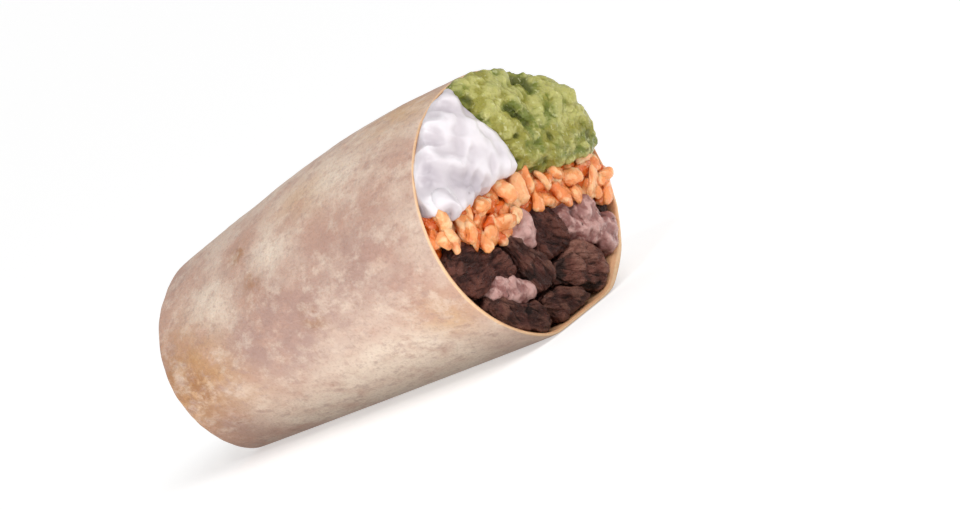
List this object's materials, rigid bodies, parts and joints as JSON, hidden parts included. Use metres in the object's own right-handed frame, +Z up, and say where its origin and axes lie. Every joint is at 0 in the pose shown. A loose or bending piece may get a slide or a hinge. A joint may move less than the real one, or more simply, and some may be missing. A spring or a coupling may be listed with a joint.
{
  "type": "burrito half",
  "caption": "Half a burrito cut across: flour tortilla round guacamole, sour cream, orange rice, chopped steak and mashed beans, lying on its side",
  "frame": {"origin": "bottom centre of the bounding box, on the surface that it lies on", "axes": "+X along the roll from the folded tail to the cut face, +Y across, to the right seen from in front of the cut's left side, +Z up"},
  "size_m": [0.1118, 0.0684, 0.0628],
  "materials": {
    "tortilla_dough": "soft matte flour tortilla, lightly freckled",
    "avocado_mash": "moist chunky mash",
    "cream": "smooth and moist",
    "orange_rice": "moist cooked grains",
    "grilled_beef": "browned, slightly moist",
    "mashed_beans": "soft mash"
  },
  "bodies": {
    "root": {"tortilla": "tortilla_dough", "guacamole": "avocado_mash", "sour_cream": "cream", "rice": "orange_rice", "steak_filling": "grilled_beef", "steak_chunk_1": "grilled_beef", "steak_chunk_2": "grilled_beef", "steak_chunk_3": "grilled_beef", "steak_chunk_4": "grilled_beef", "steak_chunk_5": "grilled_beef", "steak_chunk_6": "grilled_beef", "steak_chunk_7": "grilled_beef", "bean_mash_1": "mashed_beans", "bean_mash_2": "mashed_beans", "bean_mash_3": "mashed_beans"}
  },
  "joints": []
}
